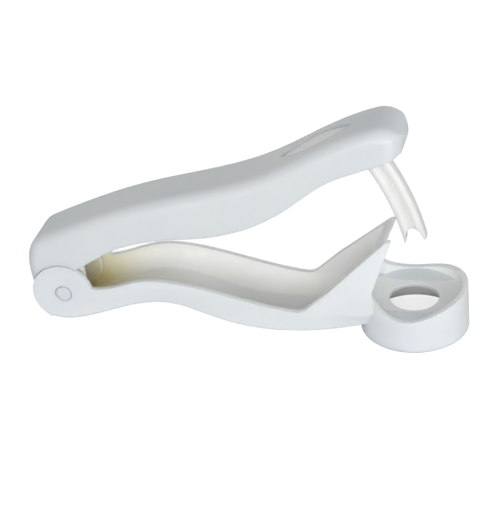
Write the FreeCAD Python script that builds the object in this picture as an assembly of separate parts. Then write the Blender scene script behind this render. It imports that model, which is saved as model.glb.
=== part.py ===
import FreeCAD, Part
import math
import os

V = FreeCAD.Vector

# Cherry pitter: a squeeze tool of two moulded channels that are hinged at the heel.
# X runs from the heel to the cup and Z is up. The sizes here count X from the cup's axis, and the
# finished pieces are moved so that the origin lies under the middle of the tool's length.

# Hinge
HINGE_X = -119.1
HINGE_Z = 12.1
OPEN_STOP_GAP = 0.3
PIN_R = 2.0
PIN_FIT = 0.05
PIN_HEAD_R = 2.7
PIN_HEAD_PROUD = 0.35
PIN_HEAD_DOME = 0.25
SPOT_FACE_DEPTH = 0.7
SPOT_FACE_GAP = 0.25
CAP_STEM_R = 1.0
CAP_STEM_LENGTH = 3.4
CAP_STEM_FIT = 0.02

# Cup
CUP_R = 18.0
CUP_DRAFT = 0.4
CUP_WALL = 1.8
CUP_FRONT_HEIGHT = 15.7
CUP_SIDE_HEIGHT = 11.4
SEAT_HEIGHT = 10.0
SEAT_RISE = 1.1
SEAT_WALL = 1.6
PIT_HOLE_R = 8.2
HOOD_FOOT_X = -12.3
HOOD_FOOT_Z = 18.8

# Lower handle: a channel that is open at the top
LOWER_WALL = 1.8
LOWER_FLOOR = 2.0
LOWER_CORNER = 2.0
EAR_R = 10.9
EAR_FRONT_X = -112.6
EAR_FRONT_Z = 18.4
EAR_HALF = 11.4
HEEL_WALL = 2.0
NECK_X = -38.6
GUSSET_FOOT_X = -34.4
GUSSET_FOOT_Z = 11.4
HOOD_TIP_X = -6.2
HOOD_TIP_Z = 35.6
HOOD_TOP_X = -9.0
HOOD_CREASE_Z = 18.5
HOOD_LEAN = 16.2
SCREEN_FOOT_X = -18.6
SCREEN_FOOT_Z = 9.0
SCREEN_WALL = 1.6
SCREEN_SETBACK = 1.3

# Upper handle: a channel that is open below
UPPER_WALL = 1.8
UPPER_HALF = 11.0
UPPER_SHOULDER = 4.6
END_BULGE_R = 14.3
NOSE_X = -131.3
NOSE_CHEEK = 8.5
NOSE_BROW_X = -129.2
NOSE_BROW_Z = 29.4
END_X = -0.6
END_TOP_Z = 70.6
END_FOOT_Z = 66.9
END_LEAN = 1.4
END_BROW_X = -3.4
END_BROW_Z = 74.2
EAR_GAP = 0.3
TAB_R = 7.8
TAB_WALL = 1.9
TAB_SIDE_GAP = 0.7
TAB_HEIGHT = 19.0
LEAF_X = -41.5
LEAF_LENGTH = 23.0
LEAF_WIDTH = 8.6
LEAF_DEPTH = 0.5

# Punch
PUNCH_FOOT_X = 3.4
PUNCH_BEND_R = 92.0
PUNCH_WIDTH = 7.4
PUNCH_DEPTH = 5.6
PUNCH_EDGE_R = 1.4
PUNCH_TIP_Z = 33.0
PUNCH_ROOT_Z = 70.0
PUNCH_MOUTH = 5.0
PUNCH_MOUTH_HEIGHT = 4.6
PUNCH_FLUTE_R = 2.6
PUNCH_FLUTE_DEPTH = 0.7
SOCKET_WALL = 1.5
SOCKET_FIT = 0.08
SOCKET_Z = 65.6

# Return spring
WIRE_R = 0.6
COIL_R = 3.3
COIL_TURNS = 4
COIL_GAP = 0.5
LOWER_LEG_REACH = 18.5
UPPER_LEG_ANGLE = 55.0
SPRING_SEAT_GAP = 0.15

# Side lines as (x, height, slope): underside, lower channel's edge, top and edge of upper channel
UNDERSIDE = ((HINGE_X, HINGE_Z - EAR_R, 0.08), (-84.5, 9.4, 0.0), (-66.0, 4.2, -0.36),
             (-43.0, 0.4, 0.0), (-14.0, 5.0, 0.28), (0.0, 9.0, 0.28))
LOWER_EDGE = ((-108.6, 14.9, 0.0), (-86.5, 19.9, 0.0), (NECK_X, 10.3, -0.12))
UPPER_TOP = ((-126.0, 32.5, 0.55), (-112.7, 38.3, 0.42), (-91.0, 46.2, 0.31), (-68.3, 52.0, 0.26),
             (-46.0, 59.2, 0.42), (-24.4, 70.4, 0.46), (-10.5, 75.8, 0.2))
UPPER_EDGE = ((-113.4, 21.8, 0.5), (-98.6, 30.2, 0.45), (-86.3, 34.0, 0.23), (-68.0, 36.2, 0.14),
              (-51.5, 40.6, 0.42), (-35.1, 50.6, 0.8), (-24.5, 58.2, 0.52), (-10.3, 63.9, 0.42))
# Half widths of the lower handle at its foot and edge, and the height where its hood starts to lean
FOOT_HALF = ((HINGE_X + 3, EAR_HALF, 0.0), (HINGE_X + 22, 11.0, 0.0))
EDGE_HALF = ((HINGE_X + 3, EAR_HALF, 0.0), (HINGE_X + 22, 13.2, 0.0))
CREASE = ((-70.0, 24.0, 0.0), (-40.0, HOOD_CREASE_Z, 0.0))
BIG = 60.0


def height(line, x):
    """Height of a smooth side line at x."""
    last = line[-1]
    for start, end in zip(line, line[1:]):
        if x <= end[0] or end is last:
            break
    span = end[0] - start[0]
    t = min(max((x - start[0]) / span, 0.0), 1.0)
    rise = (3 - 2 * t) * t * t
    bulge = span * t * (1 - t) * ((1 - t) * start[2] - t * end[2])
    return start[1] + rise * (end[1] - start[1]) + bulge


def side_curve(line, x_from, x_to, count):
    """Spline along a side line between two places."""
    step = (x_to - x_from) / (count - 1)
    points = [V(x_from + i * step, 0, height(line, x_from + i * step)) for i in range(count)]
    curve = Part.BSplineCurve()
    curve.interpolate(points)
    return curve.toShape()


def side(x, z):
    return V(x, 0, z)


def segment(a, b):
    return Part.LineSegment(a, b).toShape()


def arc(a, b, c):
    return Part.Arc(a, b, c).toShape()


def polygon(points):
    return Part.Face(Part.makePolygon(points + points[:1]))


def across(face, half):
    """Solid of a side face, from one side of the middle plane to the other."""
    moved = face.copy()
    moved.translate(V(0, -half, 0))
    return moved.extrude(V(0, 2 * half, 0))


def disc_across(x, z, radius, y_from, y_to):
    return Part.makeCylinder(radius, y_to - y_from, V(x, y_from, z), V(0, 1, 0))


def block(x_from, x_to, half, z_from, z_to):
    return Part.makeBox(x_to - x_from, 2 * half, z_to - z_from, V(x_from, -half, z_from))


# Lower handle

def lower_section(x, inset, floor):
    """Flared section of the lower channel: foot, round corner, edge, crease and leaning top."""
    base = height(UNDERSIDE, x) + floor
    foot = height(FOOT_HALF, x) - inset
    corner = LOWER_CORNER - 0.5 * inset
    flare_z = min(height(LOWER_EDGE, x), HOOD_CREASE_Z - 1)
    flare_z = max(flare_z, base + corner + 2)
    crease_z = height(CREASE, x)
    edge = height(EDGE_HALF, x) - inset
    top_z = HOOD_TIP_Z + 6
    top = edge - (top_z - crease_z) * math.tan(math.radians(HOOD_LEAN))
    bend = corner * (1 - math.sqrt(0.5))
    right = [V(x, foot - corner, base), V(x, foot - bend, base + bend), V(x, foot, base + corner),
             V(x, edge, flare_z), V(x, edge, crease_z), V(x, top, top_z)]
    left = [V(p.x, -p.y, p.z) for p in right]
    edges = [segment(left[0], right[0]), arc(right[0], right[1], right[2])]
    edges += [segment(a, b) for a, b in zip(right[2:], right[3:])]
    edges += [segment(right[-1], left[-1])]
    edges += [segment(a, b) for a, b in zip(left[:2:-1], left[-2:1:-1])]
    edges += [arc(left[2], left[1], left[0])]
    return Part.Wire(edges)


def lower_envelope(inset, floor):
    """Flared outside, or inside, of the lower handle before its side outline is cut."""
    rear = [HINGE_X - 14, HINGE_X, -112, -105, -98, -91, -84, -77, -70, -62, -54, -46]
    front = [NECK_X, -30, -22, -14, 0]
    return Part.makeLoft([lower_section(x, inset, floor) for x in rear + front], True, False)


def lower_outline():
    """Side outline of the lower handle: round heel and ears, channel edge and hood."""
    ear_front = side(EAR_FRONT_X, EAR_FRONT_Z)
    edge_start = side(LOWER_EDGE[0][0], LOWER_EDGE[0][1])
    neck = side(NECK_X, height(LOWER_EDGE, NECK_X))
    gusset = side(GUSSET_FOOT_X, GUSSET_FOOT_Z)
    hood_top = side(HOOD_TOP_X, HOOD_TIP_Z - 1.2)
    ear_inside = side(EAR_FRONT_X - 1.6, EAR_FRONT_Z + 2.6)
    edges = [segment(side(HINGE_X, -1), side(0, -1)),
             segment(side(0, -1), side(0, HOOD_TIP_Z)),
             segment(side(0, HOOD_TIP_Z), side(HOOD_TIP_X - 0.6, HOOD_TIP_Z)),
             arc(side(HOOD_TIP_X - 0.6, HOOD_TIP_Z), side(HOOD_TIP_X - 1.8, HOOD_TIP_Z - 0.3), hood_top),
             segment(hood_top, gusset),
             arc(gusset, side(NECK_X + 2.3, neck.z + 0.15), neck),
             side_curve(LOWER_EDGE, NECK_X, edge_start.x, 12),
             arc(edge_start, side(EAR_FRONT_X + 1.2, EAR_FRONT_Z - 2.4), ear_front),
             segment(ear_front, ear_inside),
             segment(ear_inside, side(HINGE_X, HINGE_Z)),
             segment(side(HINGE_X, HINGE_Z), side(HINGE_X, -1))]
    heel = disc_across(HINGE_X, HINGE_Z, EAR_R, -BIG / 2, BIG / 2)
    return across(Part.Face(Part.Wire(edges)), BIG / 2).fuse(heel)


def screen_line(offset, z):
    """Place of the hood's leaning screen at a height, moved forward by an offset."""
    head_x = HOOD_TIP_X - SCREEN_SETBACK - SCREEN_WALL
    lean = (head_x - SCREEN_FOOT_X) / (HOOD_TIP_Z - SCREEN_FOOT_Z)
    return SCREEN_FOOT_X + offset + lean * (z - SCREEN_FOOT_Z)


def screen_side(offset, z_low, x_far):
    """Space on one side of the leaning screen, as wide as the whole part."""
    top = HOOD_TIP_Z + 10
    points = [side(x_far, z_low), side(screen_line(offset, z_low), z_low),
              side(screen_line(offset, top), top), side(x_far, top)]
    return across(polygon(points), BIG / 2)


def scoop():
    """All that is above the cup's dipped rim and in front of the hood."""
    rim = [side(CUP_R + 2, CUP_FRONT_HEIGHT + 0.1), side(12.4, CUP_FRONT_HEIGHT - 1.1),
           side(6.2, CUP_SIDE_HEIGHT + 1.4), side(-1, CUP_SIDE_HEIGHT), side(-7.8, CUP_SIDE_HEIGHT + 1.5),
           side(-11.2, CUP_SIDE_HEIGHT + 4.2), side(HOOD_FOOT_X, HOOD_FOOT_Z)]
    curve = Part.BSplineCurve()
    curve.interpolate(rim)
    tip = side(HOOD_TIP_X + 0.4, HOOD_TIP_Z + 1)
    high = HOOD_TIP_Z + 20
    edges = [curve.toShape(), segment(rim[-1], tip), segment(tip, side(tip.x, high)),
             segment(side(tip.x, high), side(rim[0].x, high)), segment(side(rim[0].x, high), rim[0])]
    return across(Part.Face(Part.Wire(edges)), BIG / 2)


def turned(points):
    """Solid of revolution about the cup's axis from a half section of (radius, height)."""
    face = polygon([side(r, z) for r, z in points])
    return face.revolve(V(0, 0, 0), V(0, 0, 1), 360)


def cup_body():
    """Tapered cup wall with the dished seat across it, as tall as its front."""
    top = CUP_FRONT_HEIGHT + 2
    rim_r = CUP_R - CUP_DRAFT
    inner = rim_r - CUP_WALL
    skirt = CUP_R - CUP_WALL
    return turned([(CUP_R, 0), (rim_r, top), (inner, top), (inner, SEAT_HEIGHT + SEAT_RISE),
                   (PIT_HOLE_R, SEAT_HEIGHT), (PIT_HOLE_R, SEAT_HEIGHT - SEAT_WALL),
                   (skirt, SEAT_HEIGHT + SEAT_RISE - SEAT_WALL - 0.6), (skirt, 0)])


def cup_hollow():
    """The bowl above the seat, the pit hole and the open skirt below."""
    inner = CUP_R - CUP_DRAFT - CUP_WALL
    skirt = CUP_R - CUP_WALL
    bowl = turned([(0, SEAT_HEIGHT), (PIT_HOLE_R, SEAT_HEIGHT), (inner, SEAT_HEIGHT + SEAT_RISE),
                   (inner, HOOD_CREASE_Z), (0, HOOD_CREASE_Z)])
    bowl = bowl.common(screen_side(SCREEN_WALL, SEAT_HEIGHT - 2, BIG))
    below = turned([(0, -1), (skirt, -1), (skirt, SEAT_HEIGHT + SEAT_RISE - SEAT_WALL - 0.6),
                    (PIT_HOLE_R, SEAT_HEIGHT - SEAT_WALL), (PIT_HOLE_R, SEAT_HEIGHT + 0.1),
                    (0, SEAT_HEIGHT + 0.1)])
    return bowl, below


def pin_seats(solid):
    """Bore the ears for the hinge pin and spot-face them for its head and cap."""
    solid = solid.cut(disc_across(HINGE_X, HINGE_Z, PIN_R + PIN_FIT, -BIG / 2, BIG / 2))
    face = EAR_HALF - SPOT_FACE_DEPTH
    reach = PIN_HEAD_R + SPOT_FACE_GAP
    solid = solid.cut(disc_across(HINGE_X, HINGE_Z, reach, face, BIG / 2))
    return solid.cut(disc_across(HINGE_X, HINGE_Z, reach, -BIG / 2, -face))


def lower_space():
    """Side space of the trough, from the round heel to the back of the hood's screen."""
    length = block(HINGE_X, NECK_X + 3, BIG / 2, -1, BIG)
    heel = disc_across(HINGE_X, HINGE_Z, EAR_R - HEEL_WALL, -BIG / 2, BIG / 2)
    over_heel = block(HINGE_X - 14, HINGE_X, BIG / 2, HINGE_Z - OPEN_STOP_GAP, BIG)
    return length.fuse(heel).fuse(over_heel).fuse(screen_side(0, -1, NECK_X))


def lower_handle():
    body = lower_envelope(0, 0).common(lower_outline()).fuse(cup_body())
    inside = lower_envelope(LOWER_WALL, LOWER_FLOOR)
    trough = inside.common(lower_space())
    ahead = inside.common(screen_side(SCREEN_WALL, SEAT_HEIGHT + SEAT_RISE, 0))
    bowl, below = cup_hollow()
    for space in (trough, ahead, bowl, below, scoop()):
        body = body.cut(space)
    return pin_seats(body)


# Upper handle

def nose_curve(inset):
    """Rounded rear nose of the upper handle, from the stop over the heel to the top line."""
    foot = side(NOSE_X + 0.7 + inset, HINGE_Z)
    cheek = side(NOSE_X + inset, HINGE_Z + NOSE_CHEEK)
    brow = side(NOSE_BROW_X + 0.8 * inset, NOSE_BROW_Z - 0.6 * inset)
    top = side(UPPER_TOP[0][0] + 0.4 * inset, UPPER_TOP[0][1] - 0.9 * inset)
    curve = Part.BSplineCurve()
    curve.interpolate([foot, cheek, brow, top])
    return curve.toShape()


def upper_top(inset):
    """Edges of the top line, from the nose to the foot of the end wall."""
    nose = nose_curve(inset)
    points = [nose.Vertexes[-1].Point]
    for x, z, slope in UPPER_TOP[1:]:
        points.append(side(x, z - inset * math.sqrt(1 + slope * slope)))
    ridge = Part.BSplineCurve()
    ridge.interpolate(points)
    end_top = side(END_X - inset, END_TOP_Z)
    end_foot = side(END_X - inset - END_LEAN, END_FOOT_Z)
    brow = arc(points[-1], side(END_BROW_X - 0.8 * inset, END_BROW_Z - 0.8 * inset), end_top)
    return [nose, ridge.toShape(), brow, segment(end_top, end_foot)]


def upper_side():
    """Side outline of the upper handle, cut round behind the lower handle's ears."""
    edges = upper_top(0)
    end_foot = edges[-1].Vertexes[-1].Point
    edge_end = side(UPPER_EDGE[-1][0], UPPER_EDGE[-1][1])
    relief = EAR_R + EAR_GAP
    start_x = UPPER_EDGE[0][0]
    start = side(start_x, HINGE_Z + math.sqrt(relief ** 2 - (start_x - HINGE_X) ** 2))
    over = side(HINGE_X - relief * 0.5, HINGE_Z + relief * math.sqrt(0.75))
    rear = side(HINGE_X - relief, HINGE_Z)
    edge_line = side_curve(UPPER_EDGE, edge_end.x, start_x, 16)
    edges += [segment(end_foot, edge_end), edge_line,
              segment(edge_line.Vertexes[-1].Point, start), arc(start, over, rear),
              segment(rear, edges[0].Vertexes[0].Point)]
    return Part.Face(Part.Wire(edges))


def upper_inside():
    """Side outline of the upper handle's hollow, which is open below."""
    edges = upper_top(UPPER_WALL)
    end_foot = edges[-1].Vertexes[-1].Point
    nose_foot = edges[0].Vertexes[0].Point
    low = [end_foot, side(end_foot.x, 40), side(-60, 20), side(-100, HINGE_Z - 20),
           side(nose_foot.x, HINGE_Z - 20), nose_foot]
    edges += [segment(p, q) for p, q in zip(low, low[1:])]
    return Part.Face(Part.Wire(edges))


def rounded_plan(inset):
    """Plan of the upper handle: straight sides, round rear corners and a bulging front end."""
    half = UPPER_HALF - inset
    end = END_X - inset
    radius = END_BULGE_R - inset
    sag = radius - math.sqrt(radius ** 2 - half ** 2)
    rear = NOSE_X - 1
    points = [V(rear, half, 0), V(rear, -half, 0), V(end - sag, -half, 0), V(end - sag, half, 0)]
    front = Part.Arc(points[2], V(end, 0, 0), points[3]).toShape()
    wire = Part.Wire([segment(points[0], points[1]), segment(points[1], points[2]), front,
                      segment(points[3], points[0])])
    return Part.Face(wire).extrude(V(0, 0, 2 * BIG))


def rounded(solid, inset, with_end):
    """Round the shoulder line along both sides, the nose and, where asked, the free end."""
    half = UPPER_HALF - inset
    shoulders = []
    for edge in solid.Edges:
        middle = edge.valueAt(0.5 * (edge.FirstParameter + edge.LastParameter))
        if abs(abs(middle.y) - half) > 0.01:
            continue
        on_nose = middle.x < NOSE_X + 3 + inset and middle.z > HINGE_Z + 4
        on_top = abs(middle.z - height(UPPER_TOP, middle.x)) < 3 and edge.Length > 40
        at_end = middle.x > END_X - 9 and middle.z > 70
        if on_nose or on_top or (with_end and at_end):
            shoulders.append(edge)
    return solid.makeFillet(UPPER_SHOULDER - inset, shoulders)


def upper_solid(inset, outline, with_end):
    solid = across(outline, UPPER_HALF - inset).common(rounded_plan(inset))
    return rounded(solid, inset, with_end)


def tabs():
    """The pair of tabs that carry the upper handle on the hinge pin inside the ears."""
    outer = EAR_HALF - LOWER_WALL - TAB_SIDE_GAP
    inner = outer - TAB_WALL
    strip = block(HINGE_X - TAB_R, HINGE_X + TAB_R, outer, HINGE_Z, HINGE_Z + TAB_HEIGHT)
    plates = disc_across(HINGE_X, HINGE_Z, TAB_R, -outer, outer).fuse(strip)
    root = block(HINGE_X - TAB_R, HINGE_X + TAB_R, UPPER_HALF - UPPER_WALL + 0.1, HINGE_Z, HINGE_Z + TAB_HEIGHT)
    root = root.cut(disc_across(HINGE_X, HINGE_Z, EAR_R + EAR_GAP, -BIG / 2, BIG / 2))
    plates = plates.fuse(root)
    plates = plates.cut(block(HINGE_X - BIG, HINGE_X + BIG, inner, -BIG, BIG))
    return plates.cut(disc_across(HINGE_X, HINGE_Z, PIN_R + PIN_FIT, -BIG / 2, BIG / 2))


def leaf_recess(outside):
    """Shallow leaf-shaped field in the top of the upper handle near its free end."""
    half = 0.5 * LEAF_LENGTH
    radius = (half ** 2 + (0.5 * LEAF_WIDTH) ** 2) / LEAF_WIDTH
    offset = radius - 0.5 * LEAF_WIDTH
    centre = LEAF_X + half
    one = Part.makeCylinder(radius, 2 * BIG, V(centre, offset, 0))
    two = Part.makeCylinder(radius, 2 * BIG, V(centre, -offset, 0))
    leaf = one.common(two).common(outside)
    lower = outside.copy()
    lower.translate(V(0, 0, -LEAF_DEPTH))
    return leaf.cut(lower)


def upper_handle():
    outside = upper_solid(0, upper_side(), True)
    shell = outside.cut(upper_solid(UPPER_WALL, upper_inside(), False))
    socket = punch_bar(SOCKET_WALL, SOCKET_Z, PUNCH_ROOT_Z + 4).common(upper_room())
    shell = shell.fuse(tabs().common(upper_room())).fuse(socket)
    shell = shell.cut(punch_bar(SOCKET_FIT, SOCKET_Z - 1, PUNCH_ROOT_Z))
    return shell.cut(leaf_recess(outside))


def upper_room():
    """Side space of the upper handle with its hinge region, to trim the tabs."""
    return across(upper_inside(), BIG / 2)


# Punch

def punch_angle(z):
    return math.degrees(math.asin((z - HINGE_Z) / PUNCH_BEND_R))


def punch_bar(grow, z_from, z_to):
    """Curved bar of the punch, grown by a wall or a fit, between two heights."""
    half_x = 0.5 * PUNCH_WIDTH + grow
    half_y = 0.5 * PUNCH_DEPTH + grow
    box = Part.makeBox(2 * half_x, 2 * half_y, 1, V(PUNCH_FOOT_X - half_x, -half_y, HINGE_Z))
    box = box.makeFillet(PUNCH_EDGE_R, [e for e in box.Edges if e.BoundBox.ZLength > 0.5])
    face = [f for f in box.Faces if f.BoundBox.ZLength < 0.01 and f.BoundBox.ZMin < HINGE_Z + 0.5][0]
    centre = V(PUNCH_FOOT_X - PUNCH_BEND_R, 0, HINGE_Z)
    start = punch_angle(z_from)
    face.rotate(centre, V(0, -1, 0), start)
    return face.revolve(centre, V(0, -1, 0), punch_angle(z_to) - start)


def punch_mouth():
    """Arched mouth that leaves two prongs at the punch's tip."""
    half = 0.5 * PUNCH_WIDTH
    arch = 0.5 * PUNCH_MOUTH
    rise = PUNCH_MOUTH_HEIGHT - arch
    edges = [segment(side(-half + 0.3, -1), side(-arch, rise)),
             arc(side(-arch, rise), side(0, rise + arch), side(arch, rise)),
             segment(side(arch, rise), side(half - 0.3, -1)),
             segment(side(half - 0.3, -1), side(-half + 0.3, -1))]
    mouth = across(Part.Face(Part.Wire(edges)), BIG / 2)
    mouth.translate(V(PUNCH_FOOT_X, 0, HINGE_Z))
    centre = V(PUNCH_FOOT_X - PUNCH_BEND_R, 0, HINGE_Z)
    mouth.rotate(centre, V(0, -1, 0), punch_angle(PUNCH_TIP_Z))
    return mouth


def punch_flute(side_y):
    """Shallow groove along one broad face of the punch."""
    depth_y = side_y * (0.5 * PUNCH_DEPTH + PUNCH_FLUTE_R - PUNCH_FLUTE_DEPTH)
    ring_centre = V(PUNCH_FOOT_X - PUNCH_BEND_R, 0, HINGE_Z)
    circle = Part.makeCircle(PUNCH_FLUTE_R, V(PUNCH_FOOT_X, depth_y, HINGE_Z), V(0, 0, 1))
    face = Part.Face(Part.Wire(circle))
    return face.revolve(ring_centre, V(0, -1, 0), punch_angle(SOCKET_Z - 2))


def punch():
    bar = punch_bar(0, PUNCH_TIP_Z, PUNCH_ROOT_Z)
    bar = bar.cut(punch_mouth())
    return bar.cut(punch_flute(1)).cut(punch_flute(-1))


# Hinge pin and its cap

def pin_button(side_y):
    """Low domed button that sits in an ear's spot face."""
    face = EAR_HALF - SPOT_FACE_DEPTH
    rim = EAR_HALF + PIN_HEAD_PROUD - PIN_HEAD_DOME - face
    total = rim + PIN_HEAD_DOME
    crown = 0.45 * PIN_HEAD_R
    edges = [segment(V(0, 0, 0), V(PIN_HEAD_R, 0, 0)), segment(V(PIN_HEAD_R, 0, 0), V(PIN_HEAD_R, 0, rim)),
             arc(V(PIN_HEAD_R, 0, rim), V(0.8 * PIN_HEAD_R, 0, rim + 0.75 * PIN_HEAD_DOME), V(crown, 0, total)),
             segment(V(crown, 0, total), V(0, 0, total)), segment(V(0, 0, total), V(0, 0, 0))]
    button = Part.Face(Part.Wire(edges)).revolve(V(0, 0, 0), V(0, 0, 1), 360)
    button.rotate(V(0, 0, 0), V(1, 0, 0), -90 * side_y)
    button.translate(V(HINGE_X, side_y * face, HINGE_Z))
    return button


def hinge_pin():
    face = EAR_HALF - SPOT_FACE_DEPTH
    shank = disc_across(HINGE_X, HINGE_Z, PIN_R, -face, face)
    bore = disc_across(HINGE_X, HINGE_Z, CAP_STEM_R + CAP_STEM_FIT, face - CAP_STEM_LENGTH - 0.3, face)
    return shank.cut(bore).fuse(pin_button(-1))


def pin_cap():
    face = EAR_HALF - SPOT_FACE_DEPTH
    stem = disc_across(HINGE_X, HINGE_Z, CAP_STEM_R, face - CAP_STEM_LENGTH, face)
    return stem.fuse(pin_button(1))


# Return spring

def biarc(a, u, b, v):
    """Two arcs from a to b that leave along u and arrive along v."""
    chord = b - a
    both = u + v
    bend = 2 * (1 - u.dot(v))
    reach = (math.sqrt(chord.dot(both) ** 2 + bend * chord.dot(chord)) - chord.dot(both)) / bend
    joint = (a + u * reach + b - v * reach) * 0.5
    return [tangent_arc(a, u, joint), tangent_arc(b, v * -1, joint)]


def tangent_arc(a, u, b):
    """Arc from a to b that leaves a along u."""
    chord = b - a
    along = chord * (1 / chord.Length)
    across_chord = u - along * u.dot(along)
    lean = math.atan2(across_chord.Length, u.dot(along))
    rise = across_chord * (0.5 * chord.Length * math.tan(0.5 * lean) / across_chord.Length)
    return arc(a, (a + b) * 0.5 + rise, b)


def coil_point(angle, pitch, start_y):
    """Place and direction on the coil: the angle runs clockwise from the coil's foot."""
    radius = COIL_R
    x = HINGE_X - radius * math.sin(angle)
    z = HINGE_Z - radius * math.cos(angle)
    y = start_y + pitch * angle / (2 * math.pi)
    way = V(-radius * math.cos(angle), pitch / (2 * math.pi), radius * math.sin(angle))
    return V(x, y, z), way * (1 / way.Length)


def spring_path():
    """Lower leg, coil and upper leg of the return spring."""
    pitch = 2 * WIRE_R + COIL_GAP
    sweep = 2 * math.pi * COIL_TURNS + math.pi - math.radians(UPPER_LEG_ANGLE)
    start_y = -0.5 * pitch * sweep / (2 * math.pi)
    quarters = 4 * COIL_TURNS + 3
    stations = [coil_point(sweep * i / quarters, pitch, start_y) for i in range(quarters + 1)]
    first, way_in = stations[0]
    last, way_out = stations[-1]
    edges = [segment(first - way_in * LOWER_LEG_REACH, first)]
    for (a, u), (b, v) in zip(stations, stations[1:]):
        edges += biarc(a, u, b, v)
    edges.append(segment(last, last + way_out * upper_leg_reach(last, way_out)))
    return edges


def upper_leg_reach(start, way):
    """Length of the upper leg up to the roof of the upper handle."""
    near = 0.0
    far = 2 * BIG
    for _ in range(30):
        reach = 0.5 * (near + far)
        corner = start + way * reach + V(-way.z, 0, way.x) * WIRE_R
        roof = height(UPPER_TOP, corner.x) - 1.1 * UPPER_WALL
        if corner.z > roof - SPRING_SEAT_GAP:
            far = reach
        else:
            near = reach
    return near


def own_gap(path):
    """Least free gap between turns of the coil, measured on points along the wire."""
    points = path.discretize(Number=500)
    walked = [0.0]
    for a, b in zip(points, points[1:]):
        walked.append(walked[-1] + (b - a).Length)
    least = BIG
    for i, a in enumerate(points):
        for j in range(i + 1, len(points)):
            if walked[j] - walked[i] > 6 * WIRE_R:
                least = min(least, (points[j] - a).Length)
    return least - 2 * WIRE_R


def return_spring():
    path = Part.Wire(spring_path())
    print("spring least gap to itself", round(own_gap(path), 2), "mm")
    start = path.OrderedVertexes[0].Point
    way = path.OrderedVertexes[1].Point - start
    ring = Part.Wire(Part.makeCircle(WIRE_R, start, way))
    return path.makePipeShell([ring], True, False)


# Output

def write(name, shape):
    shape.translate(V(-0.5 * (NOSE_X + CUP_R), 0, 0))
    solids = shape.Solids
    result = solids[0] if len(solids) == 1 else Part.makeCompound(solids)
    result.exportStep(os.path.join("parts", name + ".step"))
    box = shape.BoundBox
    print(name, "solids", len(solids), "valid", shape.isValid(), "volume", round(shape.Volume, 1),
          "box", [round(v, 1) for v in (box.XMin, box.YMin, box.ZMin, box.XMax, box.YMax, box.ZMax)])


def main():
    os.makedirs("parts", exist_ok=True)
    write("lower_handle", lower_handle())
    write("upper_handle", upper_handle())
    write("punch", punch())
    write("hinge_pin", hinge_pin())
    write("pin_cap", pin_cap())
    write("return_spring", return_spring())


main()
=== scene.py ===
"""Looks of a hand-held cherry pitter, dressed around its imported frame."""
import logging
import math
from dataclasses import dataclass
from enum import Enum

import bpy
from mathutils import Matrix, Vector


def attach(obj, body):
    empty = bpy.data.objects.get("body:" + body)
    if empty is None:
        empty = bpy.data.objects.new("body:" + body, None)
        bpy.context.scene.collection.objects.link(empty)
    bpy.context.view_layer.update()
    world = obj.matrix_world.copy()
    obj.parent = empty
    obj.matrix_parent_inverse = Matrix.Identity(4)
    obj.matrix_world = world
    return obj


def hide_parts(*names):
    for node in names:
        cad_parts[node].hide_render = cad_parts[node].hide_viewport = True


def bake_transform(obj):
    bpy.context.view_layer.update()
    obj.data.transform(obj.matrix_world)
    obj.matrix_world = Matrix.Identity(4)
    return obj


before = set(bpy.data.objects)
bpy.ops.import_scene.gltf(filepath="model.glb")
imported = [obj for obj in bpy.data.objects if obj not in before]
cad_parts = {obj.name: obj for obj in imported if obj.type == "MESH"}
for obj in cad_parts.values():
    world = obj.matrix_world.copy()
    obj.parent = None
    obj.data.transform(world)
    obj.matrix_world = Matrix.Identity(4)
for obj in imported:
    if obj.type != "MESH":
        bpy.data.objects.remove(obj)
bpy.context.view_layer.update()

MM = 0.001
HINGE = Vector((-62.45, 0.0, 12.1)) * MM
MERGE_DISTANCE = 0.002 * MM
MOULDING_CREASE = math.radians(32.0)
BEVEL_SAMPLES = 6
MOTTLE_DETAIL = 3.0
MOTTLE_STEP = (0.35, 0.65)
WHITE = (1.0, 1.0, 1.0, 1.0)
LOG = logging.getLogger("cherry_pitter")

Colour = tuple[float, float, float]
Span = tuple[float, float]
Value = bpy.types.NodeSocket | float | tuple[float, ...]


class Body(Enum):
    """Bodies of the frame that a piece can ride on."""

    LOWER = "lower_body"
    UPPER = "upper_body"


class Slot(Enum):
    """Material slots of the record."""

    WHITE = "white_plastic"
    PUNCH = "punch_plastic"
    SPRING = "spring_steel"


# Meshes


def pick(obj: bpy.types.Object) -> None:
    """Make one object the only selected and active one.

    Args:
        obj: The object that the next operators act on.
    """
    bpy.ops.object.select_all(action="DESELECT")
    obj.select_set(True)
    bpy.context.view_layer.objects.active = obj


def settle(obj: bpy.types.Object) -> None:
    """Put an object's place, turn and scale into its mesh.

    Args:
        obj: The object that changes.
    """
    pick(obj)
    bpy.ops.object.transform_apply(location=True, rotation=True, scale=True)


def moulding_copy(node: str, name: str) -> bpy.types.Object:
    """Copy a solid of the frame as one merged, softly shaded mesh.

    Args:
        node: Name of the frame's node.
        name: Name of the new piece.

    Returns:
        The new object, which stands for the node.
    """
    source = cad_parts[node]
    obj = bpy.data.objects.new(name, source.data.copy())
    bpy.context.scene.collection.objects.link(obj)
    obj.data.materials.clear()
    pick(obj)
    if obj.data.has_custom_normals:
        bpy.ops.mesh.customdata_custom_splitnormals_clear()
    bpy.ops.object.mode_set(mode="EDIT")
    bpy.ops.mesh.select_all(action="SELECT")
    bpy.ops.mesh.remove_doubles(threshold=MERGE_DISTANCE)
    bpy.ops.mesh.select_all(action="DESELECT")
    bpy.ops.object.mode_set(mode="OBJECT")
    bpy.ops.object.shade_smooth_by_angle(angle=MOULDING_CREASE, keep_sharp_edges=False)
    return obj


# Shader nodes


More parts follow.
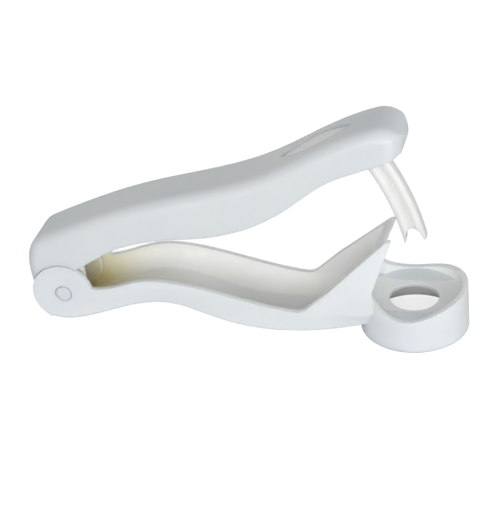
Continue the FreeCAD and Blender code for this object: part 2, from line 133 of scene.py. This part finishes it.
def feed(tree: bpy.types.NodeTree, value: Value, socket: bpy.types.NodeSocket) -> None:
    """Link a socket to an input, or set the input to a number or colour.

    Args:
        tree: Node tree of both.
        value: Socket, number or colour.
        socket: The input.
    """
    if isinstance(value, bpy.types.NodeSocket):
        tree.links.new(value, socket)
    else:
        socket.default_value = value


def math_node(tree: bpy.types.NodeTree, operation: str, *values: Value) -> bpy.types.NodeSocket:
    """Add one arithmetic node.

    Args:
        tree: Node tree that gets it.
        operation: Name of the operation.
        values: Sockets or numbers that it works on.

    Returns:
        The node's value socket.
    """
    node = tree.nodes.new("ShaderNodeMath")
    node.operation = operation
    for socket, value in zip(node.inputs, values):
        feed(tree, value, socket)
    return node.outputs["Value"]


def length_node(tree: bpy.types.NodeTree, first: bpy.types.NodeSocket,
                second: bpy.types.NodeSocket) -> bpy.types.NodeSocket:
    """Add the nodes for the length of a line from its two parts.

    Args:
        tree: Node tree that gets them.
        first: Part along one axis.
        second: Part along the other axis.

    Returns:
        The length's socket.
    """
    return math_node(tree, "SQRT", math_node(
        tree, "ADD", math_node(tree, "MULTIPLY", first, first),
        math_node(tree, "MULTIPLY", second, second)))


def ramp_node(tree: bpy.types.NodeTree, value: bpy.types.NodeSocket, low: float, high: float,
              top: Value = 1.0, shape: str = "SMOOTHSTEP") -> bpy.types.NodeSocket:
    """Add a step from 0 to a top value.

    Args:
        tree: Node tree that gets it.
        value: Socket that is read.
        low: Value that gives 0.
        high: Value that gives the top.
        top: The top value.
        shape: Kind of step.

    Returns:
        The step's socket.
    """
    node = tree.nodes.new("ShaderNodeMapRange")
    node.interpolation_type = shape
    node.inputs["From Min"].default_value = low
    node.inputs["From Max"].default_value = high
    feed(tree, top, node.inputs["To Max"])
    tree.links.new(value, node.inputs["Value"])
    return node.outputs["Result"]


def noise_node(tree: bpy.types.NodeTree, place: bpy.types.NodeSocket, scale: Value,
               detail: float = 2.0) -> bpy.types.NodeSocket:
    """Add soft noise.

    Args:
        tree: Node tree that gets it.
        place: Socket with the coordinates.
        scale: Socket or number.
        detail: How many finer layers it has.

    Returns:
        The noise's socket.
    """
    node = tree.nodes.new("ShaderNodeTexNoise")
    node.inputs["Detail"].default_value = detail
    tree.links.new(place, node.inputs["Vector"])
    feed(tree, scale, node.inputs["Scale"])
    return node.outputs["Fac"]


def mix_node(tree: bpy.types.NodeTree, share: bpy.types.NodeSocket, below: bpy.types.NodeSocket,
             above: bpy.types.NodeSocket | Colour) -> bpy.types.NodeSocket:
    """Lay one colour over another.

    Args:
        tree: Node tree that gets the node.
        share: Share of the upper colour.
        below: The lower colour.
        above: The upper colour, as a socket or as numbers.

    Returns:
        The mixed colour's socket.
    """
    node = tree.nodes.new("ShaderNodeMix")
    node.data_type = "RGBA"
    tree.links.new(share, node.inputs["Factor"])
    tree.links.new(below, node.inputs["A"])
    feed(tree, (*above, 1.0) if isinstance(above, tuple) else above, node.inputs["B"])
    return node.outputs["Result"]


def tint(material: bpy.types.Material, mask: bpy.types.NodeSocket, colour: Colour) -> None:
    """Lay a colour over a material's base colour where a mask says so.

    Args:
        material: The material that changes.
        mask: Share of the new colour.
        colour: The new colour.
    """
    tree = material.node_tree
    base = tree.nodes["Principled BSDF"].inputs["Base Color"]
    tree.links.new(mix_node(tree, mask, base.links[0].from_socket, colour), base)


def place_and_facing(tree: bpy.types.NodeTree) -> tuple[bpy.types.Node, bpy.types.Node]:
    """Split the place and the direction of a surface point into their parts.

    Args:
        tree: Node tree of a material with a coordinate node.

    Returns:
        Nodes with the parts of the place and of the direction.
    """
    made = []
    for label in ("Object", "Normal"):
        split = tree.nodes.new("ShaderNodeSeparateXYZ")
        tree.links.new(tree.nodes["place"].outputs[label], split.inputs["Vector"])
        made.append(split)
    return made[0], made[1]


class Effects:
    """Shader node groups that the finishes share."""

    def __init__(self) -> None:
        """Build each group once."""
        self.mottle = self._mottle()
        self.skin = self._skin()
        self.flow = self._flow()

    @staticmethod
    def _group(name: str, inputs: dict[str, float | str],
               outputs: dict[str, str]) -> bpy.types.NodeTree:
        """Start a node group with named sockets.

        Args:
            name: Name of the group.
            inputs: Socket name to its default number, or to another kind of socket.
            outputs: Socket name to kind of socket.

        Returns:
            The group with its input and output nodes.
        """
        group = bpy.data.node_groups.new(name, "ShaderNodeTree")
        for label, value in inputs.items():
            kind = value if isinstance(value, str) else "Float"
            socket = group.interface.new_socket(
                name=label, in_out="INPUT", socket_type="NodeSocket" + kind)
            if kind == "Float":
                socket.default_value = value
        for label, kind in outputs.items():
            group.interface.new_socket(name=label, in_out="OUTPUT", socket_type="NodeSocket" + kind)
        group.nodes.new("NodeGroupInput")
        group.nodes.new("NodeGroupOutput")
        return group

    def _mottle(self) -> bpy.types.NodeTree:
        """Slow colour change of moulded plastic.

        Returns:
            Group from two colours and a scale to a colour.
        """
        group = self._group(
            "slow_mottle",
            {"Vector": "Vector", "Colour": "Color", "Second": "Color", "Scale": 60.0,
             "Share": 0.5},
            {"Colour": "Color"})
        start = group.nodes["Group Input"].outputs
        noise = noise_node(group, start["Vector"], start["Scale"], MOTTLE_DETAIL)
        share = ramp_node(group, noise, *MOTTLE_STEP, top=start["Share"], shape="LINEAR")
        colour = mix_node(group, share, start["Colour"], start["Second"])
        group.links.new(colour, group.nodes["Group Output"].inputs["Colour"])
        return group

    def _skin(self) -> bpy.types.NodeTree:
        """Moulded skin: fine pitting, slow waviness and softened edges.

        Returns:
            Group from scales, heights and an edge width to a roughness and a normal.
        """
        group = self._group(
            "moulded_skin",
            {"Vector": "Vector", "Edge": 0.45 * MM, "Roughness": 0.35, "Spread": 0.08,
             "Pit Scale": 2600.0, "Pit Height": 0.01 * MM,
             "Wave Scale": 120.0, "Wave Height": 0.04 * MM},
            {"Roughness": "Float", "Normal": "Vector"})
        start = group.nodes["Group Input"].outputs
        end = group.nodes["Group Output"].inputs
        edge = group.nodes.new("ShaderNodeBevel")
        edge.samples = BEVEL_SAMPLES
        group.links.new(start["Edge"], edge.inputs["Radius"])
        pits = noise_node(group, start["Vector"], start["Pit Scale"])
        waves = noise_node(group, start["Vector"], start["Wave Scale"])
        bump = group.nodes.new("ShaderNodeBump")
        bump.inputs["Distance"].default_value = 1.0
        group.links.new(math_node(
            group, "ADD", math_node(group, "MULTIPLY", pits, start["Pit Height"]),
            math_node(group, "MULTIPLY", waves, start["Wave Height"])), bump.inputs["Height"])
        group.links.new(edge.outputs["Normal"], bump.inputs["Normal"])
        group.links.new(bump.outputs["Normal"], end["Normal"])
        group.links.new(math_node(
            group, "MULTIPLY_ADD", waves, start["Spread"], start["Roughness"]), end["Roughness"])
        return group

    def _flow(self) -> bpy.types.NodeTree:
        """Faint lengthwise flow lines.

        Returns:
            Group from two scales to a mask.
        """
        group = self._group(
            "flow_lines", {"Vector": "Vector", "Across": 900.0, "Along": 25.0},
            {"Mask": "Float"})
        start = group.nodes["Group Input"].outputs
        scale = group.nodes.new("ShaderNodeCombineXYZ")
        for axis, amount in (("X", "Across"), ("Y", "Across"), ("Z", "Along")):
            group.links.new(start[amount], scale.inputs[axis])
        stretch = group.nodes.new("ShaderNodeVectorMath")
        stretch.operation = "MULTIPLY"
        group.links.new(start["Vector"], stretch.inputs[0])
        group.links.new(scale.outputs["Vector"], stretch.inputs[1])
        lines = noise_node(group, stretch.outputs["Vector"], 1.0)
        group.links.new(lines, group.nodes["Group Output"].inputs["Mask"])
        return group


# Finishes


def effect_node(tree: bpy.types.NodeTree, effect: bpy.types.NodeTree,
                values: dict[str, float | Colour]) -> bpy.types.Node:
    """Place a shared effect in a material.

    Args:
        tree: The material's node tree.
        effect: The effect's group.
        values: Input name to the value that it has here.

    Returns:
        The group's node.
    """
    node = tree.nodes.new("ShaderNodeGroup")
    node.node_tree = effect
    for label, value in values.items():
        node.inputs[label].default_value = (*value, 1.0) if isinstance(value, tuple) else value
    tree.links.new(tree.nodes["place"].outputs["Object"], node.inputs["Vector"])
    return node


def coated_material(name: str, effects: Effects, mottle: dict[str, float | Colour],
                    skin: dict[str, float]) -> bpy.types.Material:
    """Start a material whose colour and skin come from the shared effects.

    Args:
        name: Name of the material.
        effects: Shared shader effects.
        mottle: Values of the colour effect.
        skin: Values of the skin effect.

    Returns:
        The material, with nodes named place and skin.
    """
    material = bpy.data.materials.new(name)
    material.use_nodes = True
    tree = material.node_tree
    shader = tree.nodes["Principled BSDF"].inputs
    tree.nodes.new("ShaderNodeTexCoord").name = "place"
    colour = effect_node(tree, effects.mottle, mottle)
    tree.links.new(colour.outputs["Colour"], shader["Base Color"])
    surface = effect_node(tree, effects.skin, skin)
    surface.name = "skin"
    tree.links.new(surface.outputs["Roughness"], shader["Roughness"])
    tree.links.new(surface.outputs["Normal"], shader["Normal"])
    return material


@dataclass(frozen=True)
class PlasticFinish:
    """A moulded plastic with its colours and skin."""

    name: str
    colour: Colour
    second: Colour
    roughness: float = 0.28
    edge: float = 0.45 * MM
    mottle_scale: float = 45.0
    mottle_share: float = 0.7
    pit_height: float = 0.006 * MM
    wave_height: float = 0.03 * MM
    index: float = 1.47
    glow: float = 0.6
    glow_reach: Colour = (1.0, 0.86, 0.62)
    glow_depth: float = 3.6 * MM

    def build(self, effects: Effects) -> bpy.types.Material:
        """Make the material.

        Args:
            effects: Shared shader effects.

        Returns:
            The material.
        """
        material = coated_material(
            self.name, effects,
            {"Colour": self.colour, "Second": self.second,
             "Scale": self.mottle_scale, "Share": self.mottle_share},
            {"Edge": self.edge, "Roughness": self.roughness,
             "Pit Height": self.pit_height, "Wave Height": self.wave_height})
        shader = material.node_tree.nodes["Principled BSDF"].inputs
        shader["IOR"].default_value = self.index
        shader["Subsurface Weight"].default_value = self.glow
        shader["Subsurface Radius"].default_value = self.glow_reach
        shader["Subsurface Scale"].default_value = self.glow_depth
        return material


@dataclass(frozen=True)
class WireFinish:
    """Drawn spring wire."""

    name: str = "drawn_spring_wire"
    colour: Colour = (0.55, 0.53, 0.5)
    second_level: float = 0.6
    roughness: float = 0.3
    mottle_scale: float = 700.0
    wave_height: float = 0.01 * MM

    def build(self, effects: Effects) -> bpy.types.Material:
        """Make the material.

        Args:
            effects: Shared shader effects.

        Returns:
            The material.
        """
        second = tuple(self.second_level * part for part in self.colour)
        material = coated_material(
            self.name, effects,
            {"Colour": self.colour, "Second": second, "Scale": self.mottle_scale},
            {"Roughness": self.roughness, "Wave Height": self.wave_height})
        material.node_tree.nodes["Principled BSDF"].inputs["Metallic"].default_value = 1.0
        return material


@dataclass(frozen=True)
class CrispSeam:
    """Softened edges that are finer near the seam round the ears."""

    width: float = 0.05 * MM
    growth: float = 0.4 * MM
    fine_within: float = 11.4 * MM
    soft_beyond: float = 12.6 * MM

    def lay(self, tree: bpy.types.NodeTree, split: bpy.types.Node) -> None:
        """Feed the skin an edge width that grows with the way from the hinge.

        Args:
            tree: Node tree of a moulding's material.
            split: Node with the parts of the place.
        """
        away = length_node(tree, math_node(tree, "SUBTRACT", split.outputs["X"], HINGE.x),
                           math_node(tree, "SUBTRACT", split.outputs["Z"], HINGE.z))
        growth = math_node(
            tree, "MULTIPLY", ramp_node(tree, away, self.fine_within, self.soft_beyond),
            self.growth)
        tree.links.new(math_node(tree, "ADD", growth, self.width),
                       tree.nodes["skin"].inputs["Edge"])


@dataclass(frozen=True)
class WellLightAndShade:
    """Painted light and shade on the inner faces: lighter, yellower towards the hinge, and a warm
    shade at it.
    """

    # The first colour paints light on the inner faces, the second paints warm bounce light towards
    # the hinge, and the third paints warm shade deep at the hinge.
    painted_inner_light: Colour = (0.97, 0.97, 0.935)
    painted_warm_bounce: Colour = (0.95, 0.89, 0.69)
    painted_bounce_along: Span = (-32.0 * MM, -56.0 * MM)
    painted_warm_shade: Colour = (0.94, 0.78, 0.48)
    painted_shade_along: Span = (-50.0 * MM, -57.0 * MM)
    painted_shade_up: Span = (15.0 * MM, 8.0 * MM)
    cloud_scale: float = 260.0
    cloud_step: Span = (0.35, 0.6)

    def lay(self, material: bpy.types.Material, inside: bpy.types.NodeSocket,
            split: bpy.types.Node) -> None:
        """Lay the painted light and shade over a moulding's colour.

        Args:
            material: The moulding's material.
            inside: Mask of its inner faces.
            split: Node with the parts of the place.
        """
        tree = material.node_tree
        # Painted light on all inner faces, then painted warm bounce light towards the hinge.
        tint(material, inside, self.painted_inner_light)
        rear = ramp_node(tree, split.outputs["X"], *self.painted_bounce_along)
        tint(material, math_node(tree, "MULTIPLY", inside, rear), self.painted_warm_bounce)
        # Painted warm shade deep at the hinge, broken up by noise.
        near = math_node(tree, "MULTIPLY", ramp_node(tree, split.outputs["X"], *self.painted_shade_along),
                         ramp_node(tree, split.outputs["Z"], *self.painted_shade_up))
        cloud = noise_node(tree, tree.nodes["place"].outputs["Object"], self.cloud_scale)
        patch = math_node(tree, "MULTIPLY", near, ramp_node(tree, cloud, *self.cloud_step))
        tint(material, math_node(tree, "MULTIPLY", inside, patch), self.painted_warm_shade)


# Sub-assemblies


@dataclass
class LowerHandle:
    """Channel with ears, hood and cup, in one moulding."""

    finish: PlasticFinish = PlasticFinish(
        "white_moulding_lower", (0.785, 0.83, 0.855), (0.805, 0.84, 0.85))
    seam: CrispSeam = CrispSeam()
    well: WellLightAndShade = WellLightAndShade()
    wall_step: Span = (-2.0 * MM, -7.0 * MM)
    floor_facing: Span = (0.5, 0.9)
    floor_edge: Span = (9.6 * MM, 9.2 * MM)

    def build(self, effects: Effects) -> list[bpy.types.Object]:
        """Make and dress the moulding.

        Args:
            effects: Shared shader effects.

        Returns:
            A list with the piece.
        """
        obj = moulding_copy("lower_handle", "lower_moulding")
        material = self.finish.build(effects)
        self._inner_faces(material)
        obj.data.materials.append(material)
        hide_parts("lower_handle")
        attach(obj, Body.LOWER.value)
        return [obj]

    def _inner_faces(self, material: bpy.types.Material) -> None:
        """Paint light and warm shade on the inner side walls and the floor of the channel.

        Args:
            material: The moulding's material.
        """
        tree = material.node_tree
        split, facing = place_and_facing(tree)
        self.seam.lay(tree, split)
        inward = math_node(tree, "MULTIPLY", split.outputs["Y"], facing.outputs["Y"])
        walls = ramp_node(tree, inward, *self.wall_step)
        off_centre = math_node(tree, "ABSOLUTE", split.outputs["Y"])
        floor = math_node(
            tree, "MULTIPLY", ramp_node(tree, facing.outputs["Z"], *self.floor_facing),
            ramp_node(tree, off_centre, *self.floor_edge))
        # Painted light and warm shade on the masked inner faces.
        self.well.lay(material, math_node(tree, "MAXIMUM", walls, floor), split)


@dataclass
class UpperHandle:
    """Lever channel with a bare leaf-shaped field near its free end."""

    # Same white plastic as the lower moulding; these colours are darker to paint the shade on its
    # top face.
    finish: PlasticFinish = PlasticFinish(
        "white_moulding_upper", (0.72, 0.765, 0.79), (0.75, 0.78, 0.785))
    seam: CrispSeam = CrispSeam()
    well: WellLightAndShade = WellLightAndShade()
    seam_radius: float = 11.2 * MM
    seam_closing: float = 0.18 * MM
    seam_reach: float = 0.02 * MM
    wall_step: Span = (-2.0 * MM, -6.0 * MM)
    roof_facing: Span = (-0.3, -0.6)
    # Where light is painted on the tabs' front edges, which lie in shade, and in what colour.
    tab_facing: Span = (0.6, 0.9)
    tab_along: Span = (-50.0 * MM, -53.0 * MM)
    tab_edge_painted_light: Colour = (0.96, 0.95, 0.92)
    leaf_tip: float = 15.15 * MM
    leaf_length: float = 23.0 * MM
    leaf_width: float = 8.6 * MM
    leaf_facing: Span = (0.4, 0.7)
    field: Colour = (1.0, 0.985, 0.955)
    field_inset: Span = (0.35 * MM, 0.6 * MM)
    outline: Colour = (0.58, 0.63, 0.64)
    outline_share: float = 0.85
    outline_inset: float = 0.05 * MM
    outline_step: Span = (0.5 * MM, 0.25 * MM)

    def build(self, effects: Effects) -> list[bpy.types.Object]:
        """Make and dress the moulding.

        Args:
            effects: Shared shader effects.

        Returns:
            A list with the piece.
        """
        obj = moulding_copy("upper_handle", "upper_moulding")
        self._close_seam(obj)
        material = self.finish.build(effects)
        self._inner_faces(material)
        self._leaf(material)
        obj.data.materials.append(material)
        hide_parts("upper_handle")
        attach(obj, Body.UPPER.value)
        return [obj]

    def _close_seam(self, obj: bpy.types.Object) -> None:
        """Draw the hollow round the ears in, so that only a fine seam is left.

        Args:
            obj: The moulding.
        """
        for vertex in obj.data.vertices:
            away = vertex.co - HINGE
            off_rim = abs(math.hypot(away.x, away.z) - self.seam_radius)
            vertex.select = off_rim < self.seam_reach
        bpy.context.tool_settings.mesh_select_mode = (True, False, False)
        pick(obj)
        bpy.ops.object.mode_set(mode="EDIT")
        share = 1.0 - self.seam_closing / self.seam_radius
        bpy.ops.transform.resize(value=(share, 1.0, share), center_override=HINGE)
        bpy.ops.mesh.select_all(action="DESELECT")
        bpy.ops.object.mode_set(mode="OBJECT")

    def _inner_faces(self, material: bpy.types.Material) -> None:
        """Paint light and warm shade on the inner side walls and the roof, and paint light on the
        tabs' front edges.

        Args:
            material: The moulding's material.
        """
        tree = material.node_tree
        split, facing = place_and_facing(tree)
        self.seam.lay(tree, split)
        inward = math_node(tree, "MULTIPLY", split.outputs["Y"], facing.outputs["Y"])
        walls = ramp_node(tree, inward, *self.wall_step)
        roof = ramp_node(tree, facing.outputs["Z"], *self.roof_facing)
        forward = math_node(
            tree, "MULTIPLY", ramp_node(tree, facing.outputs["X"], *self.tab_facing),
            ramp_node(tree, split.outputs["X"], *self.tab_along))
        # Painted light on the tabs' front edges.
        tint(material, forward, self.tab_edge_painted_light)
        self.well.lay(material, math_node(tree, "MAXIMUM", walls, roof), split)

    def _leaf(self, material: bpy.types.Material) -> None:
        """Give the shallow field its lighter ground and a darker outline.

        Args:
            material: The moulding's material.
        """
        tree = material.node_tree
        half_length, half_width = 0.5 * self.leaf_length, 0.5 * self.leaf_width
        radius = (half_length ** 2 + half_width ** 2) / self.leaf_width
        split, facing = place_and_facing(tree)
        along = math_node(tree, "SUBTRACT", split.outputs["X"], self.leaf_tip + half_length)
        across = math_node(
            tree, "ADD", math_node(tree, "ABSOLUTE", split.outputs["Y"]), radius - half_width)
        reach = length_node(tree, along, across)
        ground = ramp_node(tree, reach, *(radius - inset for inset in self.field_inset))
        up = ramp_node(tree, facing.outputs["Z"], *self.leaf_facing)
        tint(material, math_node(tree, "MULTIPLY", ground, up), self.field)
        off_line = math_node(tree, "ABSOLUTE", math_node(
            tree, "SUBTRACT", reach, radius - self.outline_inset))
        line = ramp_node(tree, off_line, *self.outline_step)
        tint(material, math_node(tree, "MULTIPLY", line, self.outline_share), self.outline)


@dataclass
class Punch:
    """Curved bar that pushes the stone out."""

    finish: PlasticFinish = PlasticFinish(
        "milky_punch", (0.83, 0.84, 0.83), (0.86, 0.865, 0.85),
        roughness=0.3, wave_height=0.05 * MM)
    flow_across: float = 900.0
    flow_along: float = 25.0
    streak: Colour = (0.74, 0.75, 0.74)
    streak_step: Span = (0.45, 0.7)
    streak_share: float = 0.3

    def build(self, effects: Effects) -> list[bpy.types.Object]:
        """Make and dress the bar.

        Args:
            effects: Shared shader effects.

        Returns:
            A list with the piece.
        """
        obj = moulding_copy("punch", "curved_punch")
        material = self.finish.build(effects)
        tree = material.node_tree
        flow = effect_node(
            tree, effects.flow, {"Across": self.flow_across, "Along": self.flow_along})
        lines = ramp_node(tree, flow.outputs["Mask"], *self.streak_step)
        tint(material, math_node(tree, "MULTIPLY", lines, self.streak_share), self.streak)
        obj.data.materials.append(material)
        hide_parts("punch")
        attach(obj, Body.UPPER.value)
        return [obj]


@dataclass
class HingePin:
    """Pin head on the near side and its cap on the far side."""

    finish: PlasticFinish = PlasticFinish(
        "white_pin", (0.75, 0.785, 0.80), (0.78, 0.80, 0.80), edge=0.12 * MM)

    def build(self, effects: Effects) -> list[bpy.types.Object]:
        """Make and dress both pieces.

        Args:
            effects: Shared shader effects.

        Returns:
            The pin and its cap.
        """
        material = self.finish.build(effects)
        made = []
        for node, name in (("hinge_pin", "pin_with_head"), ("pin_cap", "pin_end_cap")):
            obj = moulding_copy(node, name)
            obj.data.materials.append(material)
            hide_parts(node)
            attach(obj, Body.LOWER.value)
            made.append(obj)
        return made


@dataclass
class ReturnSpring:
    """Wound wire spring round the pin with a leg in each handle."""

    wire_radius: float = 0.6 * MM
    coil_radius: float = 3.3 * MM
    turns: int = 4
    gap: float = 0.5 * MM
    lower_leg: float = 18.5 * MM
    upper_leg: float = 30.6 * MM
    leg_angle: float = math.radians(55.0)
    ring_points: int = 14
    steps_per_turn: int = 48
    ring_reach: float = 1.02
    merge_distance: float = 0.001 * MM
    crease: float = math.radians(50.0)
    finish: WireFinish = WireFinish()

    def build(self, effects: Effects) -> list[bpy.types.Object]:
        """Wind the spring and dress it.

        Args:
            effects: Shared shader effects.

        Returns:
            A list with the piece.
        """
        climb = (2 * self.wire_radius + self.gap) / math.tau
        sweep = self.turns * math.tau + math.pi - self.leg_angle
        start_y = -0.5 * climb * sweep
        slope = climb / self.coil_radius
        foot = HINGE + Vector((0.0, start_y, -self.coil_radius))
        obj = self._ring(foot, math.atan(slope))
        bpy.ops.object.mode_set(mode="EDIT")
        bpy.ops.mesh.select_all(action="SELECT")
        steps = round(self.steps_per_turn * sweep / math.tau)
        for _ in range(steps):
            bpy.ops.mesh.extrude_edges_move(MESH_OT_extrude_edges_indiv={"use_normal_flip": False})
            self._turn_on(sweep / steps, climb * sweep / steps)
        self._leg(Vector((math.cos(self.leg_angle), slope, math.sin(self.leg_angle))),
                  self.upper_leg)
        bpy.ops.mesh.select_all(action="DESELECT")
        bpy.ops.object.mode_set(mode="OBJECT")
        self._select_ring(obj, foot)
        bpy.ops.object.mode_set(mode="EDIT")
        self._leg(Vector((1.0, -slope, 0.0)), self.lower_leg)
        self._close(obj)
        obj.data.materials.append(self.finish.build(effects))
        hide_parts("return_spring")
        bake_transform(obj)
        return [obj]

    def _ring(self, foot: Vector, slope: float) -> bpy.types.Object:
        """Add the ring that the wire is drawn out from.

        Args:
            foot: Its middle, below the pin.
            slope: Angle in radians at which the wire climbs.

        Returns:
            The spring's object.
        """
        bpy.ops.object.select_all(action="DESELECT")
        bpy.ops.mesh.primitive_circle_add(
            vertices=self.ring_points, radius=self.wire_radius, fill_type="NOTHING",
            location=foot, rotation=(0.0, 0.5 * math.pi, slope))
        obj = bpy.context.active_object
        obj.name = "wound_return_spring"
        settle(obj)
        return obj

    @staticmethod
    def _turn_on(angle: float, climb: float) -> None:
        """Turn the selected ring about the pin and move it along the pin.

        Without a window the rotate operator turns the other way, so the angle is negative.

        Args:
            angle: Angle in radians.
            climb: Way along the pin in metres.
        """
        bpy.ops.transform.rotate(value=-angle, orient_axis="Y", center_override=HINGE)
        bpy.ops.transform.translate(value=(0.0, climb, 0.0))

    @staticmethod
    def _leg(way: Vector, length: float) -> None:
        """Pull the selected ring out into a straight leg.

        Args:
            way: Direction of the leg.
            length: Length of the leg in metres.
        """
        bpy.ops.mesh.extrude_edges_move(
            MESH_OT_extrude_edges_indiv={"use_normal_flip": False},
            TRANSFORM_OT_translate={"value": way.normalized() * length})

    def _select_ring(self, obj: bpy.types.Object, middle: Vector) -> None:
        """Select one ring of the wire.

        Args:
            obj: The spring.
            middle: Middle of the ring.
        """
        reach = self.ring_reach * self.wire_radius
        for vertex in obj.data.vertices:
            vertex.select = (vertex.co - middle).length < reach
        bpy.context.tool_settings.mesh_select_mode = (True, False, False)

    def _close(self, obj: bpy.types.Object) -> None:
        """Close both ends of the wire and shade it softly.

        Args:
            obj: The spring, in edit mode; not used.
        """
        bpy.ops.mesh.select_all(action="SELECT")
        bpy.ops.mesh.remove_doubles(threshold=self.merge_distance)
        bpy.ops.mesh.select_all(action="DESELECT")
        bpy.ops.mesh.select_mode(type="VERT")
        bpy.ops.mesh.select_non_manifold(
            extend=False, use_wire=False, use_multi_face=False, use_non_contiguous=False,
            use_verts=False)
        bpy.ops.mesh.edge_face_add()
        bpy.ops.mesh.select_all(action="SELECT")
        bpy.ops.mesh.normals_make_consistent(inside=False)
        bpy.ops.object.mode_set(mode="OBJECT")
        bpy.ops.object.shade_smooth_by_angle(angle=self.crease)


# Studio


def way_out(azimuth: float, elevation: float) -> Vector:
    """Turn two angles into a direction away from the object.

    Args:
        azimuth: Degrees from the near side towards the cup.
        elevation: Degrees above the floor.

    Returns:
        The direction, with length 1.
    """
    turn, lift = math.radians(azimuth), math.radians(elevation)
    return Vector((math.sin(turn) * math.cos(lift), -math.cos(turn) * math.cos(lift),
                   math.sin(lift)))


@dataclass(frozen=True)
class Panel:
    """A soft lamp and where it hangs, with angles in degrees."""

    name: str
    azimuth: float
    elevation: float
    width: float
    height: float
    level: float
    distance: float = 1.15
    aim_height: float = 30.0 * MM
    in_gloss: bool = True

    def hang(self) -> None:
        """Hang the lamp so that it faces the object."""
        light = bpy.data.lights.new(self.name, "AREA")
        light.shape = "RECTANGLE"
        light.size = self.width
        light.size_y = self.height
        light.energy = self.level * math.pi ** 2 * self.distance ** 2
        lamp = bpy.data.objects.new(self.name, light)
        lamp.visible_glossy = self.in_gloss
        bpy.context.scene.collection.objects.link(lamp)
        back = way_out(self.azimuth, self.elevation)
        lamp.location = Vector((0.0, 0.0, self.aim_height)) + back * self.distance
        lamp.rotation_euler = back.to_track_quat("Z", "Y").to_euler()


@dataclass(frozen=True)
class Viewpoint:
    """Where the camera stands and what it looks at, with angles in degrees."""

    azimuth: float = 15.2
    elevation: float = 31.6
    roll: float = 5.8
    target: tuple[float, float, float] = (2.45 * MM, 0.0, 23.9 * MM)
    distance: float = 444.0 * MM
    focal_pixels: float = 1326.0
    frame_pixels: float = 509.0
    sensor_width: float = 36.0
    nearest: float = 10.0 * MM

    def stand(self) -> None:
        """Stand the camera there and make it the scene's own."""
        turn, roll = math.radians(self.azimuth), math.radians(self.roll)
        back = way_out(self.azimuth, self.elevation)
        right = Vector((math.cos(turn), math.sin(turn), 0.0))
        up = back.cross(right)
        across = right * math.cos(roll) - up * math.sin(roll)
        above = up * math.cos(roll) + right * math.sin(roll)
        data = bpy.data.cameras.new("camera")
        data.sensor_width = self.sensor_width
        data.lens = self.focal_pixels * self.sensor_width / self.frame_pixels
        data.clip_start = self.nearest
        camera = bpy.data.objects.new("camera", data)
        bpy.context.scene.collection.objects.link(camera)
        camera.matrix_world = (
            Matrix.Translation(Vector(self.target) + back * self.distance)
            @ Matrix((across, above, back)).transposed().to_4x4())
        bpy.context.scene.camera = camera


@dataclass
class Studio:
    """Plain pale floor, soft light and the camera."""

    world_level: float = 0.32
    floor_size: float = 8.0
    floor_drop: float = 0.02 * MM
    floor_shade: float = 0.86
    floor_glow: float = 0.66
    panels: tuple[Panel, ...] = (
        Panel("front_panel", azimuth=9.0, elevation=18.0, width=1.4, height=0.6, level=0.64),
        Panel("side_panel", azimuth=72.0, elevation=12.0, width=0.8, height=0.4, level=0.21),
        Panel("rear_panel", azimuth=195.0, elevation=8.0, width=1.3, height=0.3, level=0.25,
              in_gloss=False))
    view: Viewpoint = Viewpoint()

    def build(self) -> None:
        """Set up the floor, the lights and the camera."""
        bpy.context.scene.view_settings.view_transform = "Standard"
        self._floor()
        self._world()
        for panel in self.panels:
            panel.hang()
        self.view.stand()

    def _floor(self) -> None:
        """Lay a pale floor that shows white and keeps the shadow."""
        bpy.ops.object.select_all(action="DESELECT")
        bpy.ops.mesh.primitive_plane_add(
            size=self.floor_size, location=(0.0, 0.0, -self.floor_drop))
        floor = bpy.context.active_object
        floor.name = "studio_floor"
        material = bpy.data.materials.new("studio_floor")
        material.use_nodes = True
        tree = material.node_tree
        nodes, links = tree.nodes, tree.links
        nodes.remove(nodes["Principled BSDF"])
        diffuse = nodes.new("ShaderNodeBsdfDiffuse")
        diffuse.inputs["Color"].default_value = (*[self.floor_shade] * 3, 1.0)
        path = nodes.new("ShaderNodeLightPath")
        glow = nodes.new("ShaderNodeEmission")
        links.new(math_node(tree, "MULTIPLY", path.outputs["Is Camera Ray"], self.floor_glow),
                  glow.inputs["Strength"])
        both = nodes.new("ShaderNodeAddShader")
        links.new(diffuse.outputs["BSDF"], both.inputs[0])
        links.new(glow.outputs["Emission"], both.inputs[1])
        links.new(both.outputs["Shader"], nodes["Material Output"].inputs["Surface"])
        floor.data.materials.append(material)

    def _world(self) -> None:
        """Light softly from all round, and show white to the eye and in gloss."""
        world = bpy.data.worlds.new("studio")
        bpy.context.scene.world = world
        world.use_nodes = True
        tree = world.node_tree
        back = tree.nodes["Background"].inputs
        path = tree.nodes.new("ShaderNodeLightPath").outputs
        seen = math_node(tree, "MAXIMUM", path["Is Camera Ray"], math_node(
            tree, "MAXIMUM", path["Is Glossy Ray"], path["Is Transmission Ray"]))
        strength = tree.nodes.new("ShaderNodeMapRange")
        strength.inputs["To Min"].default_value = self.world_level
        tree.links.new(seen, strength.inputs["Value"])
        tree.links.new(strength.outputs["Result"], back["Strength"])
        back["Color"].default_value = WHITE


def main() -> None:
    """Build every piece in order."""
    logging.basicConfig(level=logging.INFO, format="%(name)s: %(message)s")
    Studio().build()
    LOG.info("Studio: set up the floor, the lights and the camera")
    effects = Effects()
    for part in (LowerHandle(), UpperHandle(), Punch(), HingePin(), ReturnSpring()):
        for piece in part.build(effects):
            LOG.info("%s: built %s, %d faces", type(part).__name__, piece.name,
                     len(piece.data.polygons))


if __name__ == "__main__":
    main()
